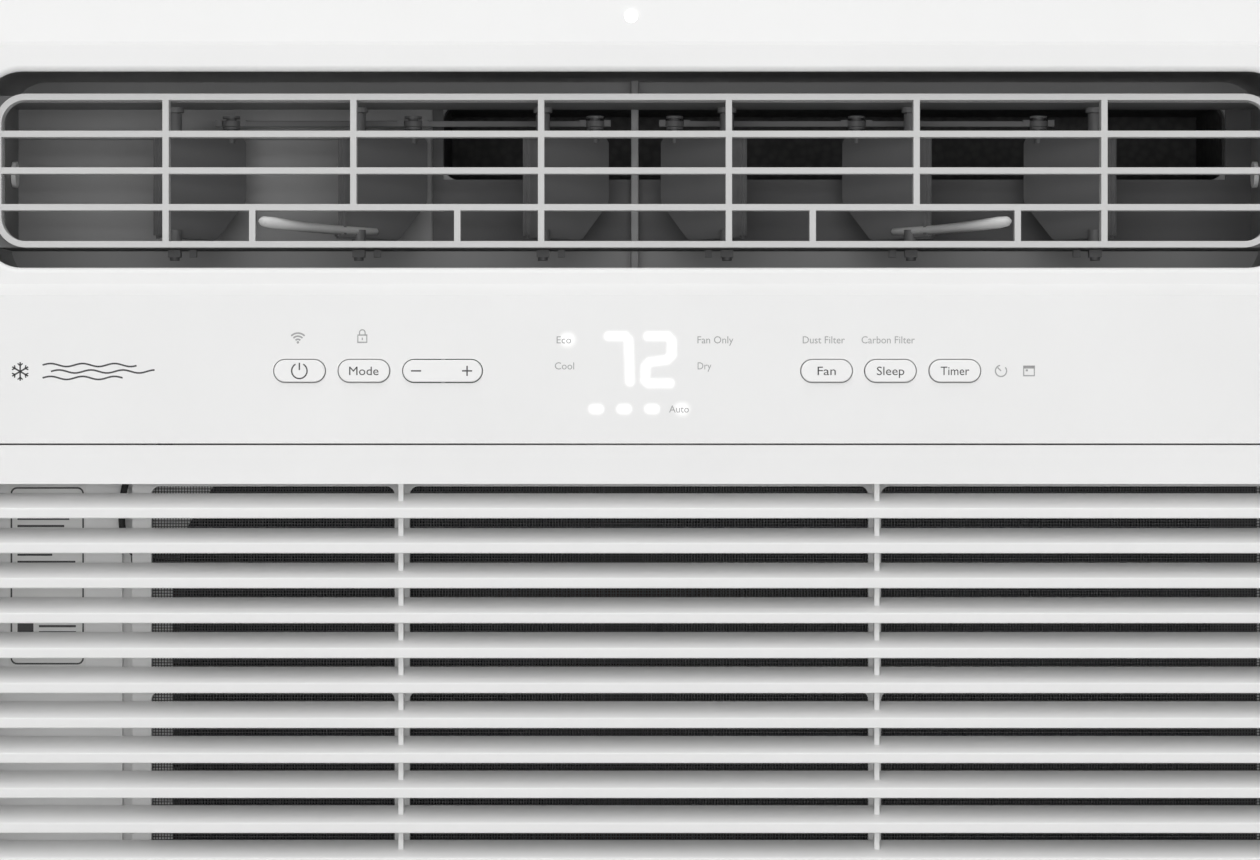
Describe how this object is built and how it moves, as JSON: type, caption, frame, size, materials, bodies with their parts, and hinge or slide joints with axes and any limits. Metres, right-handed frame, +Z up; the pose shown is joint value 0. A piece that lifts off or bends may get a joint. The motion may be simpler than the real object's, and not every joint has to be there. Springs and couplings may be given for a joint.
{
  "type": "window air conditioner",
  "caption": "Window room air conditioner: slatted drop door over a slide-out filter, tilting louver cassette with linked vanes, key panel, and full fan and cooling system inside.",
  "frame": {"origin": "on the ground under the middle of the base", "axes": "+Z up, front faces -Y, +X to the right seen from the front"},
  "size_m": [0.5, 0.562, 0.386],
  "materials": {
    "panel_white": "satin moulded, fine spark texture",
    "button_white": "satin",
    "cover_grey": "matte",
    "grille_light": "satin",
    "carrier_grey": "matte",
    "housing_grey": "matte",
    "vane_grey": "matte",
    "pin_white": "satin",
    "pin_steel": "turned",
    "filter_frame_grey": "matte",
    "filter_mesh_dark": "woven screen",
    "galvanised_sheet": "galvanised",
    "cabinet_paint": "powder coat",
    "guard_paint": "powder coat",
    "zinc_screw": "zinc plated",
    "circuit_green": "solder mask",
    "capacitor_can": "drawn",
    "black_rubber": "matte",
    "switch_black": "matte",
    "display_white": "matte",
    "display_glow": "diffusing",
    "status_glow": "diffusing",
    "foam_black": "expanded bead",
    "fin_dark_coat": "dark hydrophilic coat",
    "wheel_black": "matte",
    "motor_paint": "satin",
    "fan_plastic": "satin",
    "shroud_plastic": "matte",
    "fin_aluminium": "plain",
    "tube_copper": "drawn copper",
    "compressor_black": "gloss enamel",
    "lead_black": "matte"
  },
  "bodies": {
    "chassis": {"base_pan": "galvanised_sheet", "cabinet_wrapper": "cabinet_paint", "condenser_guard": "guard_paint", "top_sash_rail": "galvanised_sheet", "cabinet_screws": "zinc_screw", "bulkhead": "galvanised_sheet", "front_panel": "panel_white", "door_hinge_pins": "pin_steel", "control_box": "galvanised_sheet", "control_box_cover": "cover_grey", "power_board": "circuit_green", "run_capacitor": "capacitor_can", "cord_grommet": "black_rubber", "control_board": "circuit_green", "tact_switches": "switch_black", "display_module": "display_white", "light_guide": "display_glow", "status_light_lens": "status_glow", "rocker_pin": "pin_steel", "outlet_housing": "housing_grey", "louver_pivot_pins": "pin_white", "blower_scroll": "foam_black", "scroll_back": "foam_black", "fan_motor": "motor_paint", "motor_bracket": "galvanised_sheet", "fan_shroud": "shroud_plastic", "evaporator_coil": "fin_dark_coat", "condenser_coil": "fin_aluminium", "evaporator_tubes": "tube_copper", "condenser_tubes": "tube_copper", "suction_line": "tube_copper", "discharge_line": "tube_copper", "capillary_tube": "tube_copper", "compressor": "compressor_black", "compressor_grommets": "black_rubber", "room_sensor": "lead_black"},
    "door": {"intake_grille": "panel_white"},
    "filter": {"filter_frame": "filter_frame_grey", "filter_mesh": "filter_mesh_dark"},
    "louver_cassette": {"louver_grille": "grille_light", "louver_carrier": "carrier_grey"},
    "fan_rotor": {"motor_shaft": "pin_steel", "blower_wheel": "wheel_black", "condenser_fan": "fan_plastic"},
    "temperature_rocker": {"temperature_rocker": "button_white"},
    "power_button": {"power_button": "button_white"},
    "mode_button": {"mode_button": "button_white"},
    "fan_button": {"fan_button": "button_white"},
    "sleep_button": {"sleep_button": "button_white"},
    "timer_button": {"timer_button": "button_white"},
    "vane_left_outer": {"vane_left_outer": "vane_grey"},
    "vane_left_middle": {"vane_left_middle": "vane_grey", "vane_lever_left": "grille_light"},
    "vane_left_inner": {"vane_left_inner": "vane_grey"},
    "vane_right_outer": {"vane_right_outer": "vane_grey"},
    "vane_right_middle": {"vane_right_middle": "vane_grey", "vane_lever_right": "grille_light"},
    "vane_right_inner": {"vane_right_inner": "vane_grey"},
    "link_bar_left": {"link_bar_left": "vane_grey"},
    "link_bar_right": {"link_bar_right": "vane_grey"}
  },
  "joints": [
    {"name": "door_hinge", "type": "hinge", "parent": "chassis", "child": "door", "pos_m": [0, -0.268, 0.014], "axis": [1, 0, 0], "range_deg": [0, 70]},
    {"name": "filter_slide", "type": "slide", "parent": "chassis", "child": "filter", "axis": [1, 0, 0], "range_m": [0, 0.425]},
    {"name": "louver_tilt", "type": "hinge", "parent": "chassis", "child": "louver_cassette", "pos_m": [0, -0.246, 0.3038], "axis": [1, 0, 0], "range_deg": [-16, 16]},
    {"name": "rotor_spin", "type": "hinge", "parent": "chassis", "child": "fan_rotor", "pos_m": [0.025, 0, 0.142], "axis": [0, 1, 0], "continuous": true},
    {"name": "temperature_rock", "type": "hinge", "parent": "chassis", "child": "temperature_rocker", "pos_m": [-0.06875, -0.2752, 0.2315], "axis": [0, 0, 1], "range_deg": [-2.5, 2.5], "stiffness_Nm_per_rad": 0.6},
    {"name": "power_press", "type": "slide", "parent": "chassis", "child": "power_button", "axis": [0, 1, 0], "range_m": [0, 0.001], "stiffness_N_per_m": 1500},
    {"name": "mode_press", "type": "slide", "parent": "chassis", "child": "mode_button", "axis": [0, 1, 0], "range_m": [0, 0.001], "stiffness_N_per_m": 1500},
    {"name": "fan_press", "type": "slide", "parent": "chassis", "child": "fan_button", "axis": [0, 1, 0], "range_m": [0, 0.001], "stiffness_N_per_m": 1500},
    {"name": "sleep_press", "type": "slide", "parent": "chassis", "child": "sleep_button", "axis": [0, 1, 0], "range_m": [0, 0.001], "stiffness_N_per_m": 1500},
    {"name": "timer_press", "type": "slide", "parent": "chassis", "child": "timer_button", "axis": [0, 1, 0], "range_m": [0, 0.001], "stiffness_N_per_m": 1500},
    {"name": "vane_left_middle_swing", "type": "hinge", "parent": "louver_cassette", "child": "vane_left_middle", "pos_m": [-0.1014, -0.24, 0.3038], "axis": [0, 0, 1], "range_deg": [0, 92]},
    {"name": "vane_left_outer_swing", "type": "hinge", "parent": "louver_cassette", "child": "vane_left_outer", "pos_m": [-0.169, -0.24, 0.3038], "axis": [0, 0, 1], "range_deg": [0, 92]},
    {"name": "vane_left_inner_swing", "type": "hinge", "parent": "louver_cassette", "child": "vane_left_inner", "pos_m": [-0.0338, -0.24, 0.3038], "axis": [0, 0, 1], "range_deg": [0, 92]},
    {"name": "link_left_swing", "type": "hinge", "parent": "vane_left_middle", "child": "link_bar_left", "pos_m": [-0.08238, -0.22287, 0.3217], "axis": [0, 0, 1], "range_deg": [-92, 0]},
    {"name": "vane_right_middle_swing", "type": "hinge", "parent": "louver_cassette", "child": "vane_right_middle", "pos_m": [0.1014, -0.24, 0.3038], "axis": [0, 0, -1], "range_deg": [0, 92]},
    {"name": "vane_right_outer_swing", "type": "hinge", "parent": "louver_cassette", "child": "vane_right_outer", "pos_m": [0.169, -0.24, 0.3038], "axis": [0, 0, -1], "range_deg": [0, 92]},
    {"name": "vane_right_inner_swing", "type": "hinge", "parent": "louver_cassette", "child": "vane_right_inner", "pos_m": [0.0338, -0.24, 0.3038], "axis": [0, 0, -1], "range_deg": [0, 92]},
    {"name": "link_right_swing", "type": "hinge", "parent": "vane_right_middle", "child": "link_bar_right", "pos_m": [0.08238, -0.22287, 0.3217], "axis": [0, 0, -1], "range_deg": [-92, 0]}
  ],
  "couplings": [
    {"joint": "vane_left_outer_swing", "follows": "vane_left_middle_swing", "ratio": 1},
    {"joint": "vane_left_inner_swing", "follows": "vane_left_middle_swing", "ratio": 1},
    {"joint": "link_left_swing", "follows": "vane_left_middle_swing", "ratio": -1},
    {"joint": "vane_right_outer_swing", "follows": "vane_right_middle_swing", "ratio": 1},
    {"joint": "vane_right_inner_swing", "follows": "vane_right_middle_swing", "ratio": 1},
    {"joint": "link_right_swing", "follows": "vane_right_middle_swing", "ratio": -1}
  ]
}
